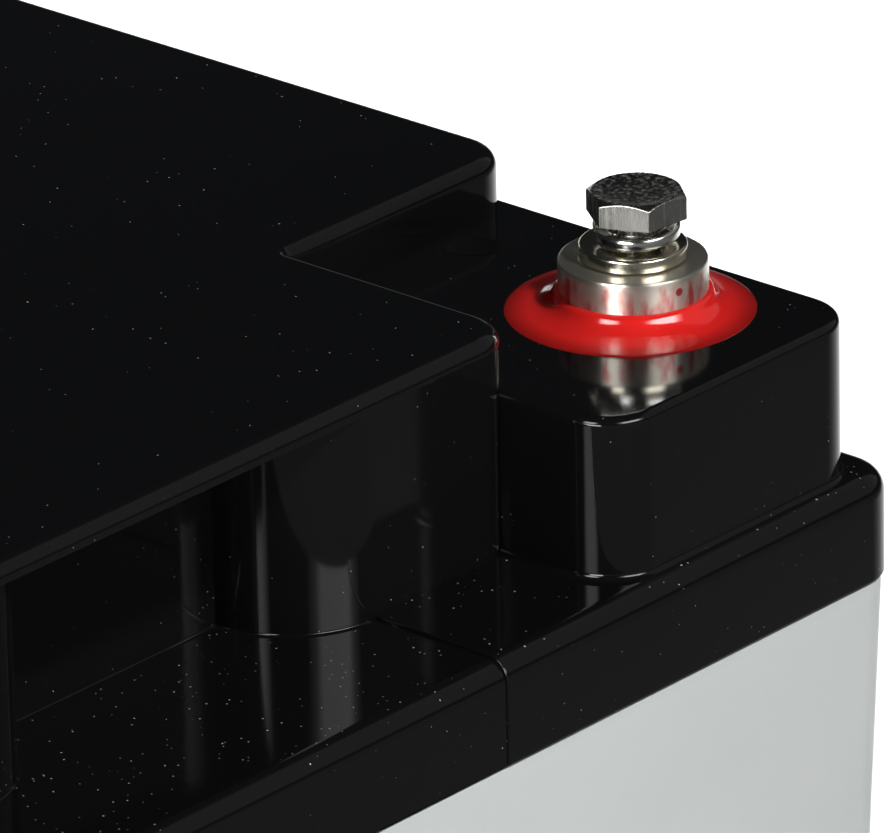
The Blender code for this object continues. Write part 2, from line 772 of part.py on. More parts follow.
def make_bolt(name, x):
    """Hexagon bolt: chamfered head with a shallow dish, and a round shank with a chamfered end."""
    hardware_z = tower_z + post_above_tower + 3 * stack_gap
    seat = hardware_z + flat_washer_thickness + spring_washer_free_height
    top = seat + hex_head_height
    corner = hex_across_flats / math.sqrt(3)
    rim = hex_rim_diameter / 2
    outline = []
    for k in range(6):
        angle = hex_turn + math.pi / 3 * k
        outline.append((x + corner * math.cos(angle), terminal_y + corner * math.sin(angle)))
    head = loft(name, [(outline, seat), (outline, top)])
    reach = corner + overrun
    reach_z = top - (reach - rim) * math.tan(hex_chamfer)
    profile = [(0.0, reach_z - overrun), (reach, reach_z - overrun), (reach, reach_z), (rim, top)]
    profile += [(hex_dish_diameter / 2, top - hex_dish_depth), (0.0, top - hex_dish_depth)]
    combine(head, turned("envelope", profile, x, terminal_y), "INTERSECT")
    shank = thread_diameter / 2
    end_z = seat - shank_length
    root_z = seat + hex_head_height / 3
    profile = [(0.0, end_z), (shank - shank_chamfer, end_z), (shank, end_z + shank_chamfer)]
    profile += [(shank, root_z), (0.0, root_z)]
    return combine(head, turned("shank", profile, x, terminal_y, hidden_steps), "UNION")


def make_valve_cap(name, x):
    """Rubber cap pushed over a vent neck."""
    inner = neck_diameter / 2 + seat_gap
    outer = inner + valve_cap_wall
    base = trough_z + seat_gap
    under_top = trough_z + neck_height + seat_gap
    top = strip_z - seat_gap
    cap = cylinder(name, outer, x, vent_row_y, base, top, hidden_steps)
    hollow = cylinder("hollow", inner, x, vent_row_y, base - overrun, under_top, hidden_steps)
    return combine(cap, hollow, "DIFFERENCE")


def make_cover_strip():
    """Plain strip welded flush into the deck over the valve caps."""
    half_x = strip_length / 2
    half_y = strip_width / 2
    corners = rectangle(-half_x, half_x, vent_row_y - half_y, vent_row_y + half_y, strip_corner_radius)
    return filleted_prism("valve_cover_strip", corners, strip_z, deck_height, strip_edge_fillet, 2)


clear_scene()

grey_abs = make_material("grey_moulded_abs", (0.52, 0.55, 0.54), 0.38)
black_abs = make_material("black_moulded_abs", (0.006, 0.006, 0.007), 0.08)
red_resin = make_material("red_cast_resin", (0.67, 0.021, 0.017), 0.12)
black_resin = make_material("black_cast_resin", (0.012, 0.012, 0.013), 0.18)
lead_alloy = make_material("tinned_lead_alloy", (0.62, 0.60, 0.55), 0.3, 1.0)
bright_steel = make_material("bright_steel", (0.56, 0.56, 0.55), 0.22, 1.0)
rubber = make_material("black_rubber", (0.02, 0.02, 0.02), 0.75)
grey_lead = make_material("cast_lead", (0.22, 0.22, 0.24), 0.5, 1.0)
positive_paste = make_material("positive_paste", (0.09, 0.045, 0.03), 0.9)
negative_paste = make_material("negative_paste", (0.26, 0.27, 0.28), 0.85)
glass_mat = make_material("glass_mat", (0.85, 0.86, 0.86), 0.95)

finish(make_container(), grey_abs)
finish(make_lid(), black_abs)
finish(make_cover_strip(), black_abs)
for number, vent_x in enumerate(vent_centres, start=1):
    finish(make_valve_cap(f"valve_cap_{number}", vent_x), rubber)

for sign, post_x, resin in (("positive", terminal_x, red_resin), ("negative", -terminal_x, black_resin)):
    finish(make_post(f"{sign}_post", post_x), lead_alloy)
    finish(make_compound(f"{sign}_sealing_compound", post_x), resin, math.radians(50))
    finish(make_sealing_ring(f"{sign}_sealing_ring", post_x), rubber)
    finish(make_flat_washer(f"{sign}_flat_washer", post_x), bright_steel)
    finish(make_spring_washer(f"{sign}_spring_washer", post_x), bright_steel)
    finish(make_bolt(f"{sign}_bolt", post_x), bright_steel, math.radians(20))

for cell in range(cell_count):
    lug_side = -1 if (cell_count - 1 - cell) % 2 == 0 else 1
    number = cell + 1
    finish(make_plate_group(f"cell_{number}_positive_group", cell, True, lug_side), positive_paste)
    finish(make_plate_group(f"cell_{number}_negative_group", cell, False, -lug_side), negative_paste)
    finish(make_separator(f"cell_{number}_separator", cell), glass_mat)

for number, wall_x in enumerate(partition_centres, start=1):
    half_run = partition_wall / 2 + tab_partition_gap - seat_gap
    weld_y = weld_side(number - 1) * abs(terminal_y)
    finish(make_weld(f"cell_weld_{number}", wall_x, weld_y, weld_diameter / 2, half_run), grey_lead)
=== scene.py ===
import math

import bmesh
import bpy
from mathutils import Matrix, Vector


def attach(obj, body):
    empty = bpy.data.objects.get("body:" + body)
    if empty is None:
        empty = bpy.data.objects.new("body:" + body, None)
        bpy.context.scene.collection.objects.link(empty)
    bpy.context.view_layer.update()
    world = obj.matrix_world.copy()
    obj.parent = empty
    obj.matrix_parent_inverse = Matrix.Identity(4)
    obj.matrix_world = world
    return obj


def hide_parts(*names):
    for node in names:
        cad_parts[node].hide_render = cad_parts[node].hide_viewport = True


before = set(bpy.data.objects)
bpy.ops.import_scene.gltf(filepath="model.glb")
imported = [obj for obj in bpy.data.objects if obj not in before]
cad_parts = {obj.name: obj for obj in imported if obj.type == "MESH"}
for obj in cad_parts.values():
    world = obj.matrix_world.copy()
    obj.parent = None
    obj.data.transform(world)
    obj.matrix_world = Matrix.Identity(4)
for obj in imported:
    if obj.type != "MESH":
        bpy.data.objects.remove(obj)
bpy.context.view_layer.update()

# Container: the grey ABS box that holds the six cells, moulded in one piece. Its walls lean outwards a
# little, as they left the mould, and a thinner tongue round its top is bonded into the lid.
case_half_x = 0.0976
case_half_y = 0.0821
case_top = 0.1314
case_foot_half_x = 0.09347
case_foot_half_y = 0.07797
case_corner = 0.0055
case_foot_round = 0.0020
tongue_inset = 0.0015
tongue_rise = 0.0076
case_wall = 0.0015
case_floor = 0.0030


def linear(code):
    """Linear colour, with alpha, of an sRGB hex code."""
    shares = [int(code[i:i + 2], 16) / 255 for i in (0, 2, 4)]
    return [s / 12.92 if s <= 0.04045 else ((s + 0.055) / 1.055) ** 2.4 for s in shares] + [1.0]


def add(tree, kind, settings=None, links=None):
    """Add one shader node with its options and sockets set and its inputs linked. A number names a socket:
    a colour Mix has its share at 0 and its two colours at 6 and 7, and gives the result at 2."""
    made = tree.nodes.new("ShaderNode" + kind)
    for name, value in (settings or {}).items():
        if isinstance(name, int) or name in made.inputs:
            made.inputs[name].default_value = value
        else:
            setattr(made, name, value)
    for name, source in (links or {}).items():
        tree.links.new(source, made.inputs[name])
    return made


def cells_of(size):
    """Scale of a pattern whose cells are so many millimetres wide."""
    return 1000 / size


def start_finish(name, settings):
    """Start a material: its tree, its shader with the plain values set, and the Object coordinates."""
    material = bpy.data.materials.new(name)
    material.use_nodes = True
    tree = material.node_tree
    shader = tree.nodes["Principled BSDF"]
    for socket, value in settings.items():
        shader.inputs[socket].default_value = value
    return material, tree, shader, add(tree, "TexCoord").outputs["Object"]


def leave_all():
    """Leave edit mode, with nothing selected."""
    if bpy.context.object is not None and bpy.context.object.mode == "EDIT":
        bpy.ops.object.mode_set(mode="OBJECT")
    bpy.ops.object.select_all(action="DESELECT")


def choose(piece):
    """Make a piece the active one, alone in the selection."""
    leave_all()
    piece.select_set(True)
    bpy.context.view_layer.objects.active = piece


def add_block(name, low, high):
    """Add a block between two corners, alone in the selection, with its place in its mesh."""
    leave_all()
    middle = [(a + b) / 2 for a, b in zip(low, high)]
    bpy.ops.mesh.primitive_cube_add(size=1, location=middle)
    block = bpy.context.object
    block.name = name
    block.scale = [b - a for a, b in zip(low, high)]
    bpy.ops.object.transform_apply()
    return block


def pick(piece, kind, test):
    """In edit mode, select only the edges or faces that pass the test."""
    if piece.mode != "EDIT":
        choose(piece)
        bpy.ops.object.mode_set(mode="EDIT")
    bpy.ops.mesh.select_mode(type=kind)
    bpy.ops.mesh.select_all(action="DESELECT")
    shape = bmesh.from_edit_mesh(piece.data)
    for part in (shape.edges if kind == "EDGE" else shape.faces):
        if test(part):
            part.select_set(True)
    bmesh.update_edit_mesh(piece.data)


def upright(edge, corners=None):
    """True for an upright edge, at one of the given corners if any are given."""
    a, b = edge.verts[0].co, edge.verts[1].co
    if abs(a.z - b.z) < 0.8 * (a - b).length:
        return False
    return corners is None or any(abs(a.x - x) < 2e-4 and abs(a.y - y) < 2e-4 for x, y in corners)


def level_at(part, z):
    """True for an edge or face that lies at one height."""
    return all(abs(v.co.z - z) < 2e-5 for v in part.verts)


def round_off(radius, segments):
    """Round the selected edges."""
    bpy.ops.mesh.bevel(offset=radius, segments=segments, affect="EDGES", clamp_overlap=False)


def smooth(piece, angle=35):
    """Shade a finished piece smooth, with its flat faces kept flat."""
    choose(piece)
    bpy.ops.object.shade_smooth_by_angle(angle=math.radians(angle))
    evened = piece.modifiers.new("evened", "WEIGHTED_NORMAL")
    evened.keep_sharp = True
    evened.weight = 90
    bpy.ops.object.modifier_apply(modifier=evened.name)


def dress(piece, material, slot, *nodes):
    """Give a new piece its finish and its place in the model."""
    piece.data.materials.clear()
    piece.data.materials.append(material)
    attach(piece, "root")
    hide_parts(*nodes)


def redress(material, *nodes):
    """Give CAD nodes a finish."""
    for name in nodes:
        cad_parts[name].material_slots[0].material = material


# Moulded ABS: satin, dulled by a fine even grain. The real grain is finer than the 0.4 mm drawn here, and the
# grey drifts a little over some centimetres.
moulded_grey_abs, tree, shader, place = start_finish("moulded_grey_abs", {"IOR": 1.52})
cloud = add(tree, "TexNoise", {"Scale": cells_of(22), "Detail": 3.0}, {"Vector": place})
tint = add(tree, "Mix", {"data_type": "RGBA", 6: linear("C3C7C6"), 7: linear("CBCECD")},
           {0: cloud.outputs["Fac"]})
grain = add(tree, "TexNoise", {"Scale": cells_of(0.4), "Detail": 2.0}, {"Vector": place})
dull = add(tree, "MapRange", {"To Min": 0.36, "To Max": 0.5}, {"Value": grain.outputs["Fac"]})
bump = add(tree, "Bump", {"Strength": 0.12, "Distance": 0.00005}, {"Height": grain.outputs["Fac"]})
tree.links.new(tint.outputs[2], shader.inputs["Base Color"])
tree.links.new(dull.outputs["Result"], shader.inputs["Roughness"])
tree.links.new(bump.outputs["Normal"], shader.inputs["Normal"])

case = add_block("grey_case", (-case_half_x, -case_half_y, 0), (case_half_x, case_half_y, case_top))
pick(case, "FACE", lambda f: level_at(f, 0))
bpy.ops.transform.resize(value=(case_foot_half_x / case_half_x, case_foot_half_y / case_half_y, 1))
pick(case, "EDGE", upright)
round_off(case_corner, 8)
pick(case, "EDGE", lambda e: level_at(e, 0))
round_off(case_foot_round, 4)
pick(case, "FACE", lambda f: level_at(f, case_top))
bpy.ops.mesh.inset(thickness=tongue_inset)
bpy.ops.mesh.extrude_region_move(TRANSFORM_OT_translate={"value": (0, 0, tongue_rise)})
bpy.ops.mesh.inset(thickness=case_wall)
case_depth = case_top + tongue_rise - case_floor
bpy.ops.mesh.extrude_region_move(TRANSFORM_OT_translate={"value": (0, 0, -case_depth)})
rim = tongue_inset + case_wall
bpy.ops.transform.resize(value=((case_foot_half_x - rim) / (case_half_x - rim),
                                (case_foot_half_y - rim) / (case_half_y - rim), 1))
smooth(case)
dress(case, moulded_grey_abs, "container_plastic", "container")

# Cells: in each of the six, brown positive and grey negative pasted plates with a white glass mat folded
# between them, hung from cast lead straps. Short lead welds join the cells through the container's walls.
cell_count = 6

# Paste, pressed into lead grids: dead matt and crumbly. The real crumbs are finer than the 1.1 mm drawn here.
pastes = {}
for name, roughness, dark, pale in (("lead_dioxide_paste", 0.9, "3A261E", "5A3B2C"),
                                    ("sponge_lead_paste", 0.85, "7A7C7E", "989A9B")):
    pastes[name], tree, shader, place = start_finish(name, {"Roughness": roughness})
    crumbs = add(tree, "TexNoise", {"Scale": cells_of(1.1), "Detail": 4.0}, {"Vector": place})
    tint = add(tree, "Mix", {"data_type": "RGBA", 6: linear(dark), 7: linear(pale)},
               {0: crumbs.outputs["Fac"]})
    bump = add(tree, "Bump", {"Strength": 0.4, "Distance": 0.0003}, {"Height": crumbs.outputs["Fac"]})
    tree.links.new(tint.outputs[2], shader.inputs["Base Color"])
    tree.links.new(bump.outputs["Normal"], shader.inputs["Normal"])

# Glass-fibre felt: white and matt. The fibres are too fine to show, so tangled 2 mm wisps stand for them.
glass_fibre_mat, tree, shader, place = start_finish("glass_fibre_mat", {"Roughness": 0.95})
fibres = add(tree, "TexNoise", {"Scale": cells_of(2), "Detail": 5.0, "Distortion": 2.0}, {"Vector": place})
tint = add(tree, "Mix", {"data_type": "RGBA", 6: linear("E6E8E8"), 7: linear("F6F7F7")},
           {0: fibres.outputs["Fac"]})
bump = add(tree, "Bump", {"Strength": 0.5, "Distance": 0.0002}, {"Height": fibres.outputs["Fac"]})
tree.links.new(tint.outputs[2], shader.inputs["Base Color"])
tree.links.new(bump.outputs["Normal"], shader.inputs["Normal"])

# Cast lead: a blotchy blue-grey metal skin, half dull from the air.
cast_lead, tree, shader, place = start_finish("cast_lead", {"Metallic": 1.0})
skin = add(tree, "TexNoise", {"Scale": cells_of(2.5), "Detail": 3.0}, {"Vector": place})
tint = add(tree, "Mix", {"data_type": "RGBA", 6: linear("808288"), 7: linear("9EA0A6")},
           {0: skin.outputs["Fac"]})
dull = add(tree, "MapRange", {"To Min": 0.4, "To Max": 0.62}, {"Value": skin.outputs["Fac"]})
tree.links.new(tint.outputs[2], shader.inputs["Base Color"])
tree.links.new(dull.outputs["Result"], shader.inputs["Roughness"])

for number in range(1, cell_count + 1):
    redress(pastes["lead_dioxide_paste"], f"cell_{number}_positive_group")
    redress(pastes["sponge_lead_paste"], f"cell_{number}_negative_group")
    redress(glass_fibre_mat, f"cell_{number}_separator")
for number in range(1, cell_count):
    redress(cast_lead, f"cell_weld_{number}")

# Lid: one moulding in polished black ABS, with a band that covers the case's tongue, a raised deck with a
# notch at each front corner for a terminal tower, and a finger grip in each long side. Its rounded edges
# catch a soft light, and fine white dust lies on it.
half_x = 0.0980
half_y = 0.0825
band_bottom = 0.1317
ledge = 0.1441
band_corner = 0.0060
band_round = 0.0026
band_lip_round = 0.0003
skirt_wall = 0.0016
ledge_wall = 0.0030
deck_top = 0.1700
deck_x = 0.0940
deck_front = -0.0638
deck_back = 0.0785
deck_corner = 0.0060
deck_round = 0.0020
deck_root = 0.0013
notch_x = 0.0552
notch_back = -0.0298
notch_root = 0.0010
tower_top = 0.1631
tower_x = 0.0517
tower_front = -0.0798
tower_into_deck = 0.0120
tower_corner = 0.0065
tower_round = 0.0010
tower_foot = 0.0008
grip_half = 0.0305
grip_depth = 0.0122
grip_roof = 0.1678
grip_step_round = 0.00018
grip_floor_round = 0.0003
sunk_floor = 0.1437
sunk_face = 0.08225
terminal_x = 0.0787
terminal_y = -0.0596
dish_radius = 0.0135
dish_floor = 0.1619
well_radius = 0.0115
well_floor = 0.1541
post_hole_radius = 0.00865
dimple_x = 0.0810
dimple_y = -0.0343
dimple_ball = 0.01145
dimple_depth = 0.0004
strip_y = 0.0490
seat_half_x = 0.0793
seat_half_y = 0.0123
seat_floor = 0.1678
seat_corner = 0.0030
trough_half_x = 0.0770
trough_half_y = 0.0075
trough_floor = 0.1565

# Cutting tools reach past the lid, out to the sides and from under the band to over the deck.
beyond = 0.11
under = 0.12
over = 0.19
clear = 0.01


def merge_solids(piece, tool, operation):
    """Cut, join or trim a piece by a tool, which is used up."""
    choose(piece)
    change = piece.modifiers.new("change", "BOOLEAN")
    change.operation = operation
    change.solver = "EXACT"
    change.object = tool
    bpy.ops.object.modifier_apply(modifier=change.name)
    bpy.data.objects.remove(tool)


def add_drum(name, radius, x, y, z0, z1, sides=128):
    """Add an upright round bar, alone in the selection."""
    leave_all()
    bpy.ops.mesh.primitive_cylinder_add(vertices=sides, radius=radius, depth=z1 - z0,
                                        location=(x, y, (z0 + z1) / 2))
    drum = bpy.context.object
    drum.name = name
    bpy.ops.object.transform_apply()
    return drum


def run_out_foot(piece, radius, steps=6, sink=0.001):
    """Run the piece's lowest face out in a hollow round, down to the ledge, and sink it in."""
    for k in range(1, steps + 1):
        shape = bmesh.from_edit_mesh(piece.data)
        lowest_z = min(v.co.z for v in shape.verts)
        pick(piece, "FACE", lambda f: level_at(f, lowest_z))
        a, b = math.pi / 2 * (k - 1) / steps, math.pi / 2 * k / steps
        drop = radius * (math.sin(b) - math.sin(a))
        spread = radius * (math.cos(a) - math.cos(b))
        bpy.ops.mesh.extrude_region_move(TRANSFORM_OT_translate={"value": (0, 0, -drop)})
        shape = bmesh.from_edit_mesh(piece.data)
        foot = [f for f in shape.faces if f.select][0]
        moves = []
        for corner in foot.loops:
            here = corner.vert.co.xy
            before = (here - corner.link_loop_prev.vert.co.xy).normalized()
            after = (corner.link_loop_next.vert.co.xy - here).normalized()
            out = Vector((-before.y - after.y, before.x + after.x))
            moves.append((corner.vert, out * spread / (1 + before.dot(after))))
        for vert, move in moves:
            vert.co.x += move.x
            vert.co.y += move.y
        bmesh.update_edit_mesh(piece.data)
    bpy.ops.mesh.extrude_region_move(TRANSFORM_OT_translate={"value": (0, 0, -sink)})


band = add_block("lid_moulding", (-half_x, -half_y, band_bottom), (half_x, half_y, ledge))
pick(band, "EDGE", upright)
round_off(band_corner, 12)
pick(band, "EDGE", lambda e: level_at(e, ledge))
round_off(band_round, 8)
pick(band, "EDGE", lambda e: level_at(e, band_bottom))
round_off(band_lip_round, 2)

sunk_air = add_block("sunk_air", (-grip_half, -beyond, under), (grip_half, beyond, ledge + clear))
sunk_core = add_block("sunk_core", (-grip_half - clear, -sunk_face, under - clear),
                      (grip_half + clear, sunk_face, sunk_floor))
pick(sunk_core, "EDGE", lambda e: level_at(e, sunk_floor) and abs(e.verts[0].co.y - e.verts[1].co.y) < 1e-5)
round_off(band_round, 8)
merge_solids(sunk_air, sunk_core, "DIFFERENCE")
merge_solids(band, sunk_air, "DIFFERENCE")

deck = add_block("deck", (-deck_x, deck_front, ledge - deck_root), (deck_x, deck_back, deck_top))
for side in (1, -1):
    low, high = sorted((side * notch_x, side * beyond))
    notch = add_block("notch", (low, -beyond, under), (high, notch_back, over))
    merge_solids(deck, notch, "DIFFERENCE")
outer_corners = [(side * x, y) for side in (1, -1)
                 for x, y in ((notch_x, deck_front), (deck_x, notch_back), (deck_x, deck_back))]
pick(deck, "EDGE", lambda e: upright(e, outer_corners))
round_off(deck_corner, 12)
pick(deck, "EDGE", lambda e: upright(e, [(notch_x, notch_back), (-notch_x, notch_back)]))
round_off(notch_root, 4)
pick(deck, "EDGE", lambda e: level_at(e, deck_top))
round_off(deck_round, 8)

for side, face in ((-1, deck_front), (1, deck_back)):
    back = face - side * grip_depth
    low, high = sorted((back, face + side * clear))
    grip = add_block("grip", (-grip_half, low, under + clear), (grip_half, high, grip_roof))
    for x in (grip_half, -grip_half):
        merge_solids(grip, add_drum("pillar", grip_depth, x, back, under, over), "DIFFERENCE")
    merge_solids(deck, grip, "DIFFERENCE")
merge_solids(band, deck, "UNION")

# Each tower has a dish and a well for the resin, and a shallow round dimple from the mould behind the post.
for side in (1, -1):
    low, high = sorted((side * tower_x, side * deck_x))
    tower = add_block("tower", (low, tower_front, ledge + tower_foot),
                      (high, notch_back + tower_into_deck, tower_top))
    pick(tower, "EDGE", upright)
    round_off(tower_corner, 12)
    pick(tower, "EDGE", lambda e: level_at(e, tower_top))
    round_off(tower_round, 6)
    run_out_foot(tower, tower_foot)
    merge_solids(band, tower, "UNION")
    x = side * terminal_x
    merge_solids(band, add_drum("dish", dish_radius, x, terminal_y, dish_floor, over), "DIFFERENCE")
    merge_solids(band, add_drum("well", well_radius, x, terminal_y, well_floor, over), "DIFFERENCE")
    leave_all()
    bpy.ops.mesh.primitive_uv_sphere_add(
        segments=96, ring_count=96, radius=dimple_ball,
        location=(side * dimple_x, dimple_y, tower_top + dimple_ball - dimple_depth))
    dimple = bpy.context.object
    bpy.ops.object.transform_apply()
    room = add_block("dimple_room", (-beyond, -beyond, under),
                     (beyond, beyond, tower_top + dimple_depth / 2))
    merge_solids(dimple, room, "INTERSECT")
    merge_solids(band, dimple, "DIFFERENCE")

hollow_x, hollow_y = half_x - skirt_wall, half_y - skirt_wall
hollow = add_block("hollow", (-hollow_x, -hollow_y, under), (hollow_x, hollow_y, ledge - ledge_wall))
merge_solids(band, hollow, "DIFFERENCE")
for side in (1, -1):
    hole = add_drum("post_hole", post_hole_radius, side * terminal_x, terminal_y, under, over)
    merge_solids(band, hole, "DIFFERENCE")
seat = add_block("strip_seat", (-seat_half_x, strip_y - seat_half_y, seat_floor),
                 (seat_half_x, strip_y + seat_half_y, over))
pick(seat, "EDGE", upright)
round_off(seat_corner, 6)
merge_solids(band, seat, "DIFFERENCE")
trough = add_block("trough", (-trough_half_x, strip_y - trough_half_y, trough_floor),
                   (trough_half_x, strip_y + trough_half_y, over))
merge_solids(band, trough, "DIFFERENCE")


def on_grip_step(vert):
    """True for a point at either end of a grip, on the low step from the ledge down to the grip's floor."""
    return abs(abs(vert.co.x) - grip_half) < 1e-5 and vert.co.z < ledge + 1e-5


def in_grip(vert, hair=0.0001):
    """True for a point between the ends of either grip, from the deck's face to the grip's back."""
    at_front = deck_front < vert.co.y < deck_front + grip_depth + hair
    at_back = deck_back - grip_depth - hair < vert.co.y < deck_back
    return abs(vert.co.x) < grip_half - hair and (at_front or at_back)


# The step down to each grip's floor has a worn edge, and the mould leaves a small hollow round where the
# grip's walls meet that floor.
pick(band, "EDGE", lambda e: all(on_grip_step(v) for v in e.verts)
     and e.calc_face_angle_signed(0) > math.radians(45))
round_off(grip_step_round, 3)
pick(band, "EDGE", lambda e: level_at(e, sunk_floor) and all(in_grip(v) for v in e.verts))
round_off(grip_floor_round, 3)

# Polished ABS: deep black and almost as clear as a mirror, with a faint haze where hands have been.
moulded_black = "0D0D0E"
polished_black_abs, tree, shader, place = start_finish("polished_black_abs", {
    "IOR": 1.5, "Specular IOR Level": 0.32})
haze = add(tree, "TexNoise", {"Scale": cells_of(17), "Detail": 4.0}, {"Vector": place})
dull = add(tree, "MapRange", {"To Min": 0.05, "To Max": 0.12}, {"Value": haze.outputs["Fac"]})
# Dust: specks 0.1 to 0.25 mm across, some millimetres apart on the deck and thicker below it, in drifts a
# centimetre wide. Each Voronoi cell holds one speck, and its random colour says if it lies there, how large
# it is and how pale.
motes = add(tree, "TexVoronoi", {"Scale": cells_of(1.1), "feature": "F1"}, {"Vector": place})
each = add(tree, "SeparateColor", links={"Color": motes.outputs["Color"]})
drift = add(tree, "TexNoise", {"Scale": cells_of(10.5), "Detail": 2.0}, {"Vector": place})
gathered = add(tree, "MapRange", {"From Min": 0.42, "From Max": 0.6, "To Min": 0.2, "To Max": 1.8},
               {"Value": drift.outputs["Fac"]})
height = add(tree, "SeparateXYZ", links={"Vector": place})
share = add(tree, "MapRange", {"From Min": deck_top - 0.004, "From Max": ledge + 0.0014,
                               "To Min": 0.19, "To Max": 0.9}, {"Value": height.outputs["Z"]})
there = add(tree, "Math", {"operation": "MULTIPLY"}, {0: gathered.outputs[0], 1: share.outputs[0]})
lies = add(tree, "Math", {"operation": "LESS_THAN"}, {0: each.outputs["Green"], 1: there.outputs[0]})
facing = add(tree, "NewGeometry")
up = add(tree, "SeparateXYZ", links={"Vector": facing.outputs["Normal"]})
held = add(tree, "MapRange", {"From Min": 0.2, "From Max": 0.9, "To Min": 0.6, "To Max": 1.0},
           {"Value": up.outputs["Z"]})
reach = add(tree, "MapRange", {"To Min": 0.05, "To Max": 0.12}, {"Value": each.outputs["Blue"]})
edge = add(tree, "Math", {"operation": "MULTIPLY"}, {0: reach.outputs[0], 1: held.outputs[0]})
inside = add(tree, "Math", {"operation": "LESS_THAN"}, {0: motes.outputs["Distance"], 1: edge.outputs[0]})
speck = add(tree, "Math", {"operation": "MULTIPLY"}, {0: inside.outputs[0], 1: lies.outputs[0]})
shade = add(tree, "MapRange", {"To Min": 0.04, "To Max": 0.7}, {"Value": each.outputs["Red"]})
shown = add(tree, "Math", {"operation": "MULTIPLY"}, {0: speck.outputs[0], 1: shade.outputs[0]})
tint = add(tree, "Mix", {"data_type": "RGBA", 6: linear(moulded_black), 7: linear("C8C8C4")},
           {0: shown.outputs[0]})
rough = add(tree, "Mix", {"data_type": "FLOAT", 3: 0.9}, {0: speck.outputs[0], 2: dull.outputs["Result"]})
tree.links.new(tint.outputs[2], shader.inputs["Base Color"])
tree.links.new(rough.outputs[0], shader.inputs["Roughness"])
smooth(band, 30)
dress(band, polished_black_abs, "lid_plastic", "lid")

# Valve cover: a plain strip of the same black ABS, welded flush into the deck. Under it, a rubber cap on
# each cell's vent neck lets gas out and no air in.
redress(polished_black_abs, "valve_cover_strip")
# Moulded rubber: black and matt. Its real grain is too fine to show, and is drawn 0.8 mm wide.
soft_black_rubber, tree, shader, place = start_finish("soft_black_rubber", {})
skin = add(tree, "TexNoise", {"Scale": cells_of(0.8), "Detail": 2.0}, {"Vector": place})
tint = add(tree, "Mix", {"data_type": "RGBA", 6: linear("1A1A1A"), 7: linear("262626")},
           {0: skin.outputs["Fac"]})
dull = add(tree, "MapRange", {"To Min": 0.65, "To Max": 0.85}, {"Value": skin.outputs["Fac"]})
tree.links.new(tint.outputs[2], shader.inputs["Base Color"])
tree.links.new(dull.outputs["Result"], shader.inputs["Roughness"])
for number in range(1, cell_count + 1):
    redress(soft_black_rubber, f"valve_cap_{number}")

# Posts: a lead-alloy terminal in each tower, turned and tinned, with a tapped hole for the bolt. A flange on
# it, under the lid, holds a rubber sealing ring against the tower.
post_radius = 0.00835
post_top = 0.1693
post_foot = 0.1287
post_edge = 0.0004
leg_radius = 0.0060
flange_radius = 0.0110
flange_bottom = 0.1461
flange_top = 0.1489
hole_radius = 0.0032
hole_depth = 0.0180
hole_tip = 0.0016
drop_place = (-0.00184, -0.00815, -0.0016)


def turn_profile(name, points, x, y, steps=96):
    """Draw a profile from point to point and spin it once round an upright axis."""
    leave_all()
    bpy.ops.mesh.primitive_plane_add(size=0.001, location=(x + points[0][0], y, points[0][1]))
    piece = bpy.context.object
    piece.name = name
    bpy.ops.object.transform_apply()
    bpy.ops.object.mode_set(mode="EDIT")
    bpy.ops.mesh.select_mode(type="VERT")
    bpy.ops.mesh.merge(type="CENTER")
    for (r0, z0), (r1, z1) in zip(points, points[1:]):
        bpy.ops.mesh.extrude_vertices_move(TRANSFORM_OT_translate={"value": (r1 - r0, 0, z1 - z0)})
    bpy.ops.mesh.select_all(action="SELECT")
    bpy.ops.mesh.spin(steps=steps, angle=2 * math.pi, center=(x, y, 0), axis=(0, 0, 1))
    bpy.ops.mesh.select_all(action="SELECT")
    bpy.ops.mesh.remove_doubles(threshold=1e-6)
    bpy.ops.mesh.normals_make_consistent(inside=False)
    bpy.ops.object.mode_set(mode="OBJECT")
    return piece


def share_out(piece):
    """Move a piece that was modelled at the negative terminal to the positive one and leave a copy in its
    place. Both are given with their signs."""
    choose(piece)
    bpy.ops.object.duplicate()
    twin = bpy.context.object
    twin.name = piece.name.replace("positive", "negative")
    choose(piece)
    bpy.ops.transform.translate(value=(2 * terminal_x, 0, 0))
    bpy.ops.object.transform_apply()
    return ("positive", piece), ("negative", twin)


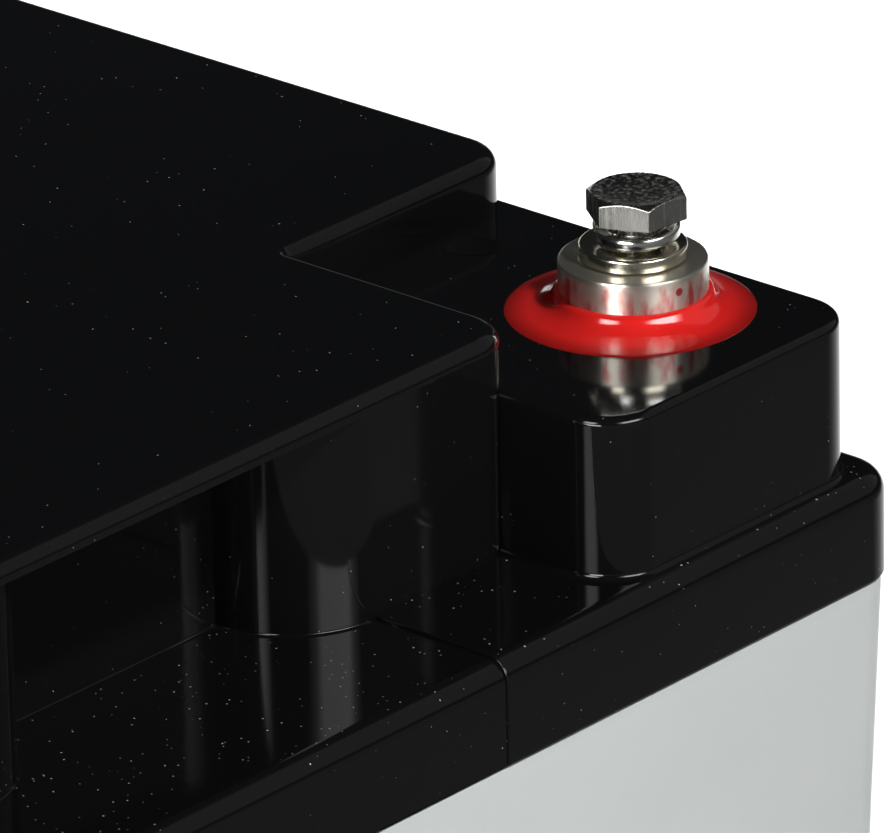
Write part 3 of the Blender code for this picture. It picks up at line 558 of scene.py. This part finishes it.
# Tinned lead: silver, with a soft sheen drawn round by the turning tool, and a brighter top. The resin has
# left upright smears 1.6 mm wide on its side, and one dried drop a millimetre across.
tinned_lead = {}
for sign, x, stain in (("positive", terminal_x, "C8484C"), ("negative", -terminal_x, "6A6A68")):
    tinned_lead[sign], tree, shader, place = start_finish("tinned_post_" + sign, {
        "Anisotropic": 0.8, "Anisotropic Rotation": 0.25})
    centred = add(tree, "Mapping", {"Location": (-x, -terminal_y, -post_top)}, {"Vector": place})
    drawn = add(tree, "Mapping", {"Scale": (1.0, 1.0, 0.3)}, {"Vector": centred.outputs[0]})
    smear = add(tree, "TexNoise", {"Scale": cells_of(1.6), "Detail": 4.0}, {"Vector": drawn.outputs[0]})
    smeared = add(tree, "MapRange", {"From Min": 0.48, "From Max": 0.66, "To Max": 0.9},
                  {"Value": smear.outputs["Fac"]})
    height = add(tree, "SeparateXYZ", links={"Vector": centred.outputs[0]})
    below = add(tree, "MapRange", {"From Min": -0.0003, "From Max": -0.0009}, {"Value": height.outputs["Z"]})
    wetted = add(tree, "Math", {"operation": "MULTIPLY"}, {0: smeared.outputs[0], 1: below.outputs[0]})
    away = add(tree, "VectorMath", {"operation": "DISTANCE", 1: drop_place}, {0: centred.outputs[0]})
    drop = add(tree, "MapRange", {"From Min": 0.00055, "From Max": 0.0004}, {"Value": away.outputs["Value"]})
    stained = add(tree, "Math", {"operation": "MAXIMUM"}, {0: wetted.outputs[0], 1: drop.outputs[0]})
    tint = add(tree, "Mix", {"data_type": "RGBA", 6: linear("D8D3C6"), 7: linear(stain)},
               {0: stained.outputs[0]})
    plated = add(tree, "MapRange", {"From Min": -0.0009, "From Max": -0.0003, "To Min": 0.85, "To Max": 0.93},
                 {"Value": height.outputs["Z"]})
    dull = add(tree, "MapRange", {"To Min": 0.24, "To Max": 0.4}, {"Value": smear.outputs["Fac"]})
    bump = add(tree, "Bump", {"Strength": 0.1, "Distance": 0.00004}, {"Height": smear.outputs["Fac"]})
    tree.links.new(tint.outputs[2], shader.inputs["Base Color"])
    tree.links.new(plated.outputs["Result"], shader.inputs["Metallic"])
    tree.links.new(dull.outputs["Result"], shader.inputs["Roughness"])
    tree.links.new(bump.outputs["Normal"], shader.inputs["Normal"])

points = [(0, post_foot), (leg_radius, post_foot), (leg_radius, flange_bottom),
          (flange_radius, flange_bottom), (flange_radius, flange_top), (post_radius, flange_top),
          (post_radius, post_top - post_edge),
          (post_radius - 0.3 * post_edge, post_top - 0.3 * post_edge), (post_radius - post_edge, post_top),
          (hole_radius + post_edge, post_top), (hole_radius, post_top - post_edge),
          (hole_radius, post_top - hole_depth), (0, post_top - hole_depth - hole_tip)]
turned_post = turn_profile("turned_positive_post", points, -terminal_x, terminal_y)
smooth(turned_post)
for sign, post in share_out(turned_post):
    dress(post, tinned_lead[sign], "terminal_metal", f"{sign}_post")
    redress(soft_black_rubber, f"{sign}_sealing_ring")

# Sealing resin: cast wet round each post into the tower's dish, red on the positive side and black on the
# negative one. It is drawn up the post where it wetted it, and runs out thin on the tower's top. The pour
# lies a little off the post's axis.
resin_gap = 0.0003
resin_outer = 0.01395
resin_seat = dish_radius - resin_gap
resin_well = well_radius - resin_gap
resin_inner = 0.00836
pour_shift = Vector((-0.00023, 0.00026, 0))
crown = [(resin_outer, 0.00001), (0.01388, 0.00005), (0.0137, 0.0001), (0.0133, 0.00017), (0.0127, 0.00026),
         (0.0121, 0.00035), (0.0115, 0.00046), (0.0110, 0.00057), (0.0106, 0.00068), (0.01025, 0.00081),
         (0.00995, 0.00096), (0.0097, 0.00113), (0.0095, 0.00131), (0.00932, 0.00152), (0.00917, 0.00175),
         (0.00904, 0.00199), (0.00892, 0.00222), (0.00879, 0.0024), (0.00862, 0.00252),
         (resin_inner, 0.00258)]

# Cast resin: it looks wet, with soft ripples and clouds 5 mm wide. The black lid shows through its thin edge.
cast_resin = {}
for sign, x, deep, pale, thin_edge in (("positive", terminal_x, "C61A17", "DC2824", "5C0C0A"),
                                       ("negative", -terminal_x, "101011", "161617", "0D0D0E")):
    cast_resin[sign], tree, shader, place = start_finish("cast_resin_" + sign, {
        "IOR": 1.52, "Coat Weight": 0.3, "Coat Roughness": 0.04})
    cloud = add(tree, "TexNoise", {"Scale": cells_of(5.5), "Detail": 2.0}, {"Vector": place})
    tint = add(tree, "Mix", {"data_type": "RGBA", 6: linear(deep), 7: linear(pale)},
               {0: cloud.outputs["Fac"]})
    middle = (-x - pour_shift.x, -terminal_y - pour_shift.y, 0)
    centred = add(tree, "Mapping", {"Location": middle, "Scale": (1, 1, 0)}, {"Vector": place})
    out = add(tree, "VectorMath", {"operation": "LENGTH"}, {0: centred.outputs[0]})
    thin = add(tree, "MapRange", {"From Min": well_radius, "From Max": resin_outer, "To Max": 0.75},
               {"Value": out.outputs["Value"]})
    edged = add(tree, "Mix", {"data_type": "RGBA", 7: linear(thin_edge)},
                {0: thin.outputs[0], 6: tint.outputs[2]})
    dull = add(tree, "MapRange", {"To Min": 0.08, "To Max": 0.16}, {"Value": cloud.outputs["Fac"]})
    ripple = add(tree, "Bump", {"Strength": 0.1, "Distance": 0.0002}, {"Height": cloud.outputs["Fac"]})
    tree.links.new(edged.outputs[2], shader.inputs["Base Color"])
    tree.links.new(dull.outputs["Result"], shader.inputs["Roughness"])
    tree.links.new(ripple.outputs["Normal"], shader.inputs["Normal"])

points = [(radius, tower_top + rise) for radius, rise in crown]
points += [(resin_inner, well_floor + resin_gap), (resin_well, well_floor + resin_gap),
           (resin_well, dish_floor + resin_gap), (resin_seat, dish_floor + resin_gap),
           (resin_seat, tower_top), points[0]]
cast_seal = turn_profile("cast_positive_seal", points, -terminal_x, terminal_y, 128)
for vert in cast_seal.data.vertices:
    out = math.hypot(vert.co.x + terminal_x, vert.co.y - terminal_y)
    vert.co += pour_shift * min(max((out - resin_inner) / (resin_seat - resin_inner), 0), 1)
smooth(cast_seal, 50)
for sign, seal in share_out(cast_seal):
    slot = "red_resin" if sign == "positive" else "black_resin"
    dress(seal, cast_resin[sign], slot, f"{sign}_sealing_compound")

# Flat washers: stamped from steel strip and plated, one on each post under its bolt. The punch has rolled
# the upper edge over.
washer_bottom = 0.1695
washer_top = 0.1711
washer_radius = 0.00605
washer_bore = 0.0032
washer_edge = 0.0001
rolled_edge = ((0, 0.00035), (0.00005, 0.0002), (0.00015, 0.00008), (0.00035, 0))

# Yellow-plated rolled steel: warm and almost mirror bright, with worn patches 2 mm across.
rolled_steel, tree, shader, place = start_finish("plated_rolled_steel", {"Metallic": 1.0})
wear = add(tree, "TexNoise", {"Scale": cells_of(2), "Detail": 4.0}, {"Vector": place})
tint = add(tree, "Mix", {"data_type": "RGBA", 6: linear("CEC8B2"), 7: linear("E2DDCC")},
           {0: wear.outputs["Fac"]})
dull = add(tree, "MapRange", {"To Min": 0.12, "To Max": 0.26}, {"Value": wear.outputs["Fac"]})
bump = add(tree, "Bump", {"Strength": 0.1, "Distance": 0.00004}, {"Height": wear.outputs["Fac"]})
tree.links.new(tint.outputs[2], shader.inputs["Base Color"])
tree.links.new(dull.outputs["Result"], shader.inputs["Roughness"])
tree.links.new(bump.outputs["Normal"], shader.inputs["Normal"])

points = [(washer_bore, washer_bottom), (washer_radius - washer_edge, washer_bottom),
          (washer_radius, washer_bottom + washer_edge)]
points += [(washer_radius - inward, washer_top - down) for inward, down in rolled_edge]
points += [(washer_bore, washer_top), points[0]]
stamped_washer = turn_profile("stamped_positive_washer", points, -terminal_x, terminal_y)
smooth(stamped_washer)
for sign, washer in share_out(stamped_washer):
    dress(washer, rolled_steel, "plated_steel", f"{sign}_flat_washer")

# Spring washers: one slack turn of square steel wire, hardened and bright, with a gap between its ends. It
# lies loose under the bolt's head, and both sit a little off the post's axis.
coil_bottom = 0.1713
coil_section = 0.0016
coil_climb = 0.0011
coil_inner = 0.00315
coil_outer = 0.00485
coil_edge = 0.0005
coil_start = math.radians(151.5)
coil_sweep = math.radians(351)
slack = (0.00029, -0.00034)
bolt_x = slack[0] - terminal_x
bolt_y = slack[1] + terminal_y

# Hardened wire, drawn bright: a clean and nearly white mirror, worn in patches a millimetre across.
bright_wire, tree, shader, place = start_finish("bright_spring_steel", {"Metallic": 1.0})
wear = add(tree, "TexNoise", {"Scale": cells_of(1.25), "Detail": 4.0}, {"Vector": place})
tint = add(tree, "Mix", {"data_type": "RGBA", 6: linear("CFCECA"), 7: linear("E8E7E2")},
           {0: wear.outputs["Fac"]})
dull = add(tree, "MapRange", {"To Min": 0.1, "To Max": 0.22}, {"Value": wear.outputs["Fac"]})
tree.links.new(tint.outputs[2], shader.inputs["Base Color"])
tree.links.new(dull.outputs["Result"], shader.inputs["Roughness"])

# The wire's square section is one face of a block, moved to the axis and swept round by a Screw modifier.
half = (coil_outer - coil_inner) / 2
coil = add_block("split_positive_washer", (coil_inner, -half, coil_bottom),
                 (coil_outer, half, coil_bottom + coil_section))
pick(coil, "FACE", lambda f: f.normal.y < 0.5)
bpy.ops.mesh.delete(type="ONLY_FACE")
pick(coil, "EDGE", lambda e: all(v.co.y < 0 for v in e.verts))
bpy.ops.mesh.delete(type="VERT")
bpy.ops.mesh.select_mode(type="VERT")
bpy.ops.mesh.select_all(action="SELECT")
bpy.ops.transform.translate(value=(0, -half, 0))
bpy.ops.mesh.bevel(offset=coil_edge, segments=5, affect="VERTICES", clamp_overlap=False)
bpy.ops.object.mode_set(mode="OBJECT")
turn = coil.modifiers.new("turn", "SCREW")
turn.angle = coil_sweep
turn.screw_offset = coil_climb
turn.steps = 96
turn.render_steps = 96
turn.use_merge_vertices = False
bpy.ops.object.modifier_apply(modifier=turn.name)
coil.rotation_euler.z = coil_start
coil.location = (bolt_x, bolt_y, 0)
bpy.ops.object.transform_apply()
bpy.ops.object.mode_set(mode="EDIT")
bpy.ops.mesh.select_all(action="SELECT")
bpy.ops.mesh.remove_doubles(threshold=1e-7)
bpy.ops.mesh.select_mode(type="EDGE")
bpy.ops.mesh.select_all(action="DESELECT")
bpy.ops.mesh.select_non_manifold()
bpy.ops.mesh.fill_holes(sides=0)
bpy.ops.mesh.select_all(action="SELECT")
bpy.ops.mesh.normals_make_consistent(inside=False)
smooth(coil)
for sign, washer in share_out(coil):
    dress(washer, bright_wire, "bright_steel", f"{sign}_spring_washer")

# Bolts: M6 hexagon bolts in bright steel. The head is formed cold, so its top is dished, and its corners are
# chamfered at 30 degrees, a slope of 0.577. The shank screws into the post.
head_bottom = 0.1742
head_top = 0.1772
across_flats = 0.0100
hex_turn = math.radians(24.5)
head_slope = 0.577
head_edge = 0.0001
head_rim = 0.0049
head_dish = ((0.0042, 0.00008), (0.0036, 0.00024), (0.0028, 0.0003), (0, 0.0003))
shank_radius = 0.00275
shank_length = 0.0160
shank_overlap = 0.0010

# Cold-headed steel: bright, scuffed in patches a millimetre wide and brushed up and down in 0.4 mm streaks.
bright_bolt, tree, shader, place = start_finish("bright_bolt_steel", {})
scuff = add(tree, "TexNoise", {"Scale": cells_of(1.4), "Detail": 5.0}, {"Vector": place})
tint = add(tree, "Mix", {"data_type": "RGBA", 6: linear("96958F"), 7: linear("BDBCB6")},
           {0: scuff.outputs["Fac"]})
stretch = add(tree, "Mapping", {"Scale": (1.0, 1.0, 0.06)}, {"Vector": place})
brushing = add(tree, "TexNoise", {"Scale": cells_of(0.42), "Detail": 3.0}, {"Vector": stretch.outputs[0]})
dull = add(tree, "MapRange", {"From Min": 0.3, "From Max": 0.7, "To Min": 0.17, "To Max": 0.34},
           {"Value": brushing.outputs["Fac"]})
brushed = add(tree, "Bump", {"Strength": 0.4, "Distance": 0.00003}, {"Height": brushing.outputs["Fac"]})
# The die leaves the top pitted: only level faces take these 0.6 mm dents. The highest parts between them are
# rubbed dull and catch the lamp.
facing = add(tree, "NewGeometry")
up = add(tree, "SeparateXYZ", links={"Vector": facing.outputs["Normal"]})
level = add(tree, "MapRange", {"From Min": 0.9, "From Max": 0.97}, {"Value": up.outputs["Z"]})
dents = add(tree, "TexNoise", {"Scale": cells_of(0.6), "Detail": 3.0}, {"Vector": place})
pitted = add(tree, "Math", {"operation": "MULTIPLY"}, {0: dents.outputs["Fac"], 1: level.outputs[0]})
bump = add(tree, "Bump", {"Strength": 0.9, "Distance": 0.0002},
           {"Height": pitted.outputs[0], "Normal": brushed.outputs["Normal"]})
flecked = add(tree, "MapRange", {"From Min": 0.5, "From Max": 0.66, "To Min": 1.0, "To Max": 0.72},
              {"Value": pitted.outputs[0]})
tree.links.new(tint.outputs[2], shader.inputs["Base Color"])
tree.links.new(flecked.outputs["Result"], shader.inputs["Metallic"])
tree.links.new(dull.outputs["Result"], shader.inputs["Roughness"])
tree.links.new(bump.outputs["Normal"], shader.inputs["Normal"])

leave_all()
bpy.ops.mesh.primitive_cylinder_add(vertices=6, radius=across_flats / math.sqrt(3),
                                    depth=head_top - head_bottom,
                                    location=(bolt_x, bolt_y, (head_bottom + head_top) / 2),
                                    rotation=(0, 0, hex_turn))
bolt = bpy.context.object
bolt.name = "hexagon_positive_bolt"
bpy.ops.object.transform_apply()
# A turned envelope, wider and deeper than the head, trims its top to the chamfer and the dish.
wide, low = 0.008, head_bottom - 0.005
points = [(0, low), (wide, low), (wide, head_top - (wide - head_rim) * head_slope), (head_rim, head_top)]
points += [(radius, head_top - down) for radius, down in head_dish]
merge_solids(bolt, turn_profile("envelope", points, bolt_x, bolt_y), "INTERSECT")
pick(bolt, "EDGE", lambda e: len(e.link_faces) == 2 and e.calc_face_angle(0) > math.radians(25))
round_off(head_edge, 3)
shank = add_drum("shank", shank_radius, bolt_x, bolt_y, head_bottom - shank_length,
                 head_bottom + shank_overlap, 64)
merge_solids(bolt, shank, "UNION")
pick(bolt, "FACE", lambda f: True)
bpy.ops.mesh.remove_doubles(threshold=2e-6)
smooth(bolt, 30)
for sign, hexagon in share_out(bolt):
    dress(hexagon, bright_bolt, "bright_steel", f"{sign}_bolt")

# Floor: a wide table top of painted board. It stands for the plain white ground of the photograph, and keeps
# the battery's shadow.
floor_size = 12
# Matt white paint: even, with next to no gloss, so that it mirrors nothing.
white_board, tree, shader, place = start_finish("white_board", {
    "Base Color": linear("D2D2D2"), "Roughness": 0.9, "Specular IOR Level": 0.1})
leave_all()
bpy.ops.mesh.primitive_plane_add(size=floor_size, location=(0, 0, 0))
floor = bpy.context.object
floor.name = "table_top"
floor.data.materials.append(white_board)

# Light: a dim room with low soft boxes in front and to the left, which light the case. Nested panels, whose
# edges are soft because they fade outwards, and two dim walls behind show in gloss alone. One hooded lamp
# lights the lid, and another makes the ground behind white.
world = bpy.data.worlds.new("studio")
bpy.context.scene.world = world
world.use_nodes = True
world.node_tree.nodes["Background"].inputs["Color"].default_value = (0.012, 0.0135, 0.015, 1)
lamp_target = Vector((0.04, -0.05, 0.12))


def add_lamp(name, azimuth, elevation, distance, width, height, glow, lights=True, shows=True):
    """Add a soft box that faces the terminal. Azimuth is counted from +X towards +Y, in degrees, and glow is
    how many times brighter than white card the box is. It may light matt surfaces, show in gloss, or both."""
    a, e = math.radians(azimuth), math.radians(elevation)
    towards = Vector((math.cos(a) * math.cos(e), math.sin(a) * math.cos(e), math.sin(e)))
    lamp = bpy.data.lights.new(name, "AREA")
    lamp.shape = "RECTANGLE"
    lamp.size = width
    lamp.size_y = height
    lamp.energy = math.pi * glow * width * height
    box = bpy.data.objects.new(name, lamp)
    box.location = lamp_target + towards * distance
    box.rotation_euler = towards.to_track_quat("Z", "Y").to_euler()
    box.visible_diffuse = lights
    box.visible_glossy = shows
    bpy.context.scene.collection.objects.link(box)


def add_spot(name, place, target, power, angle, softness):
    """Add a hooded lamp that doesn't show in gloss and whose light fades from the middle to the edge."""
    lamp = bpy.data.lights.new(name, "SPOT")
    lamp.energy = power
    lamp.spot_size = math.radians(angle)
    lamp.spot_blend = 1.0
    lamp.shadow_soft_size = softness
    spot = bpy.data.objects.new(name, lamp)
    spot.location = place
    spot.rotation_euler = (Vector(place) - Vector(target)).to_track_quat("Z", "Y").to_euler()
    spot.visible_glossy = False
    bpy.context.scene.collection.objects.link(spot)


add_lamp("front_box", azimuth=268, elevation=3.4, distance=2.5, width=1.7, height=0.5, glow=10.5, shows=False)
add_lamp("left_box", azimuth=191, elevation=3.4, distance=2.2, width=1.3, height=0.5, glow=17.5)
for number, (width, glow) in enumerate([(1.25, 3.3), (1.45, 3.2), (1.65, 3.0), (2.0, 1.6), (2.4, 1.5)]):
    add_lamp(f"front_panel_{number}", azimuth=267, elevation=29, distance=2.5 + 0.02 * number, width=width,
             height=0.7 + 0.06 * number, glow=glow, lights=False)
for number, width in enumerate([0.6, 0.8, 1.0]):
    add_lamp(f"left_panel_{number}", azimuth=185, elevation=29, distance=2.2 + 0.02 * number, width=width,
             height=0.66 + 0.06 * number, glow=4, lights=False)
add_lamp("back_wall", azimuth=62, elevation=4, distance=2.5, width=1.3, height=0.4, glow=1.3, lights=False)
add_lamp("far_wall", azimuth=-28, elevation=31, distance=2.5, width=3.1, height=1.9, glow=0.2)
add_lamp("rear_glow", azimuth=36, elevation=5, distance=2.5, width=0.6, height=0.35, glow=0.2, lights=False)
add_spot("lid_lamp", place=(0.10, -1.2, 2.0), target=(0.0, -0.02, 0.17), power=165, angle=11, softness=0.1)
add_spot("table_lamp", place=(0.55, 0.38, 2.0), target=(0.55, 0.38, 0), power=435, angle=40, softness=0.05)

# Camera: the photograph's view, through a long lens. Its place and turn come from the vanishing lines of the
# lid's edges and from the round seal.
lens = bpy.data.cameras.new("camera")
lens.lens = 450.08
lens.sensor_width = 36
lens.clip_start = 0.01
lens.clip_end = 50
camera = bpy.data.objects.new("camera", lens)
camera.location = (-0.77979986, -0.79339976, 0.63574131)
camera.rotation_euler = [math.radians(v) for v in (66.74360453, 1.08230793, -48.87810412)]
bpy.context.scene.collection.objects.link(camera)
bpy.context.scene.camera = camera
bpy.context.scene.view_settings.view_transform = "Standard"
